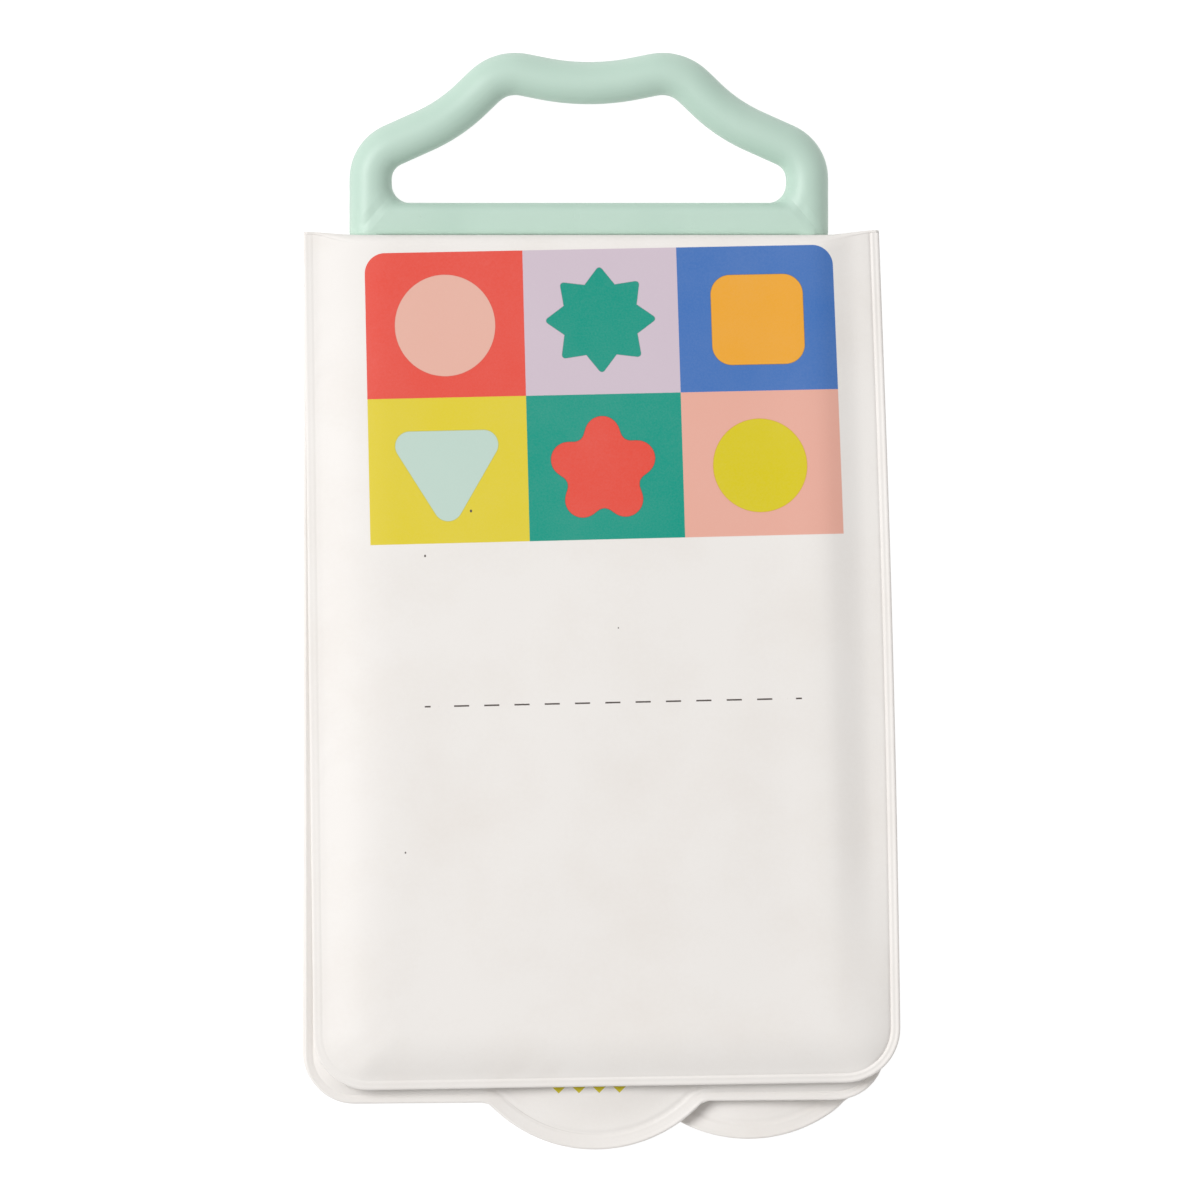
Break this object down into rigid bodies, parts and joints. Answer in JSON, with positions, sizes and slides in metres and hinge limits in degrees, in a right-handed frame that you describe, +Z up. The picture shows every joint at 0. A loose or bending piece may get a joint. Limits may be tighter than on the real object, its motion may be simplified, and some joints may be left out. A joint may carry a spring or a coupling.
{
  "type": "padded book with carry handle",
  "caption": "Soft padded book bound at its head, with sealed covers that fold open, tabbed leaves and a moulded carry handle.",
  "frame": {"origin": "on the front cover's flat underside, on the handle's centre line, half a cover's length from the spine's outer face", "axes": "+Y from the index tabs towards the handle, +Z up through the closed book from front cover to back cover, +X to the right of the back cover as read"},
  "size_m": [0.1637, 0.299, 0.026],
  "materials": {
    "cover_skin": "satin coated skin over foam, with printed colour fields on the back",
    "page_skin": "satin coated skin over foam",
    "handle_rubber": "matte moulded silicone"
  },
  "bodies": {
    "book_block": {"pages": "page_skin", "spine": "cover_skin", "handle": "handle_rubber"},
    "back_cover": {"back_cover": "cover_skin"},
    "front_cover": {"front_cover": "cover_skin"}
  },
  "joints": [
    {"name": "back_cover_hinge", "type": "hinge", "parent": "book_block", "child": "back_cover", "pos_m": [0, 0.1125, 0.023], "axis": [-1, 0, 0], "range_deg": [0, 180]},
    {"name": "front_cover_hinge", "type": "hinge", "parent": "book_block", "child": "front_cover", "pos_m": [0, 0.1125, 0.003], "axis": [1, 0, 0], "range_deg": [0, 180]}
  ]
}
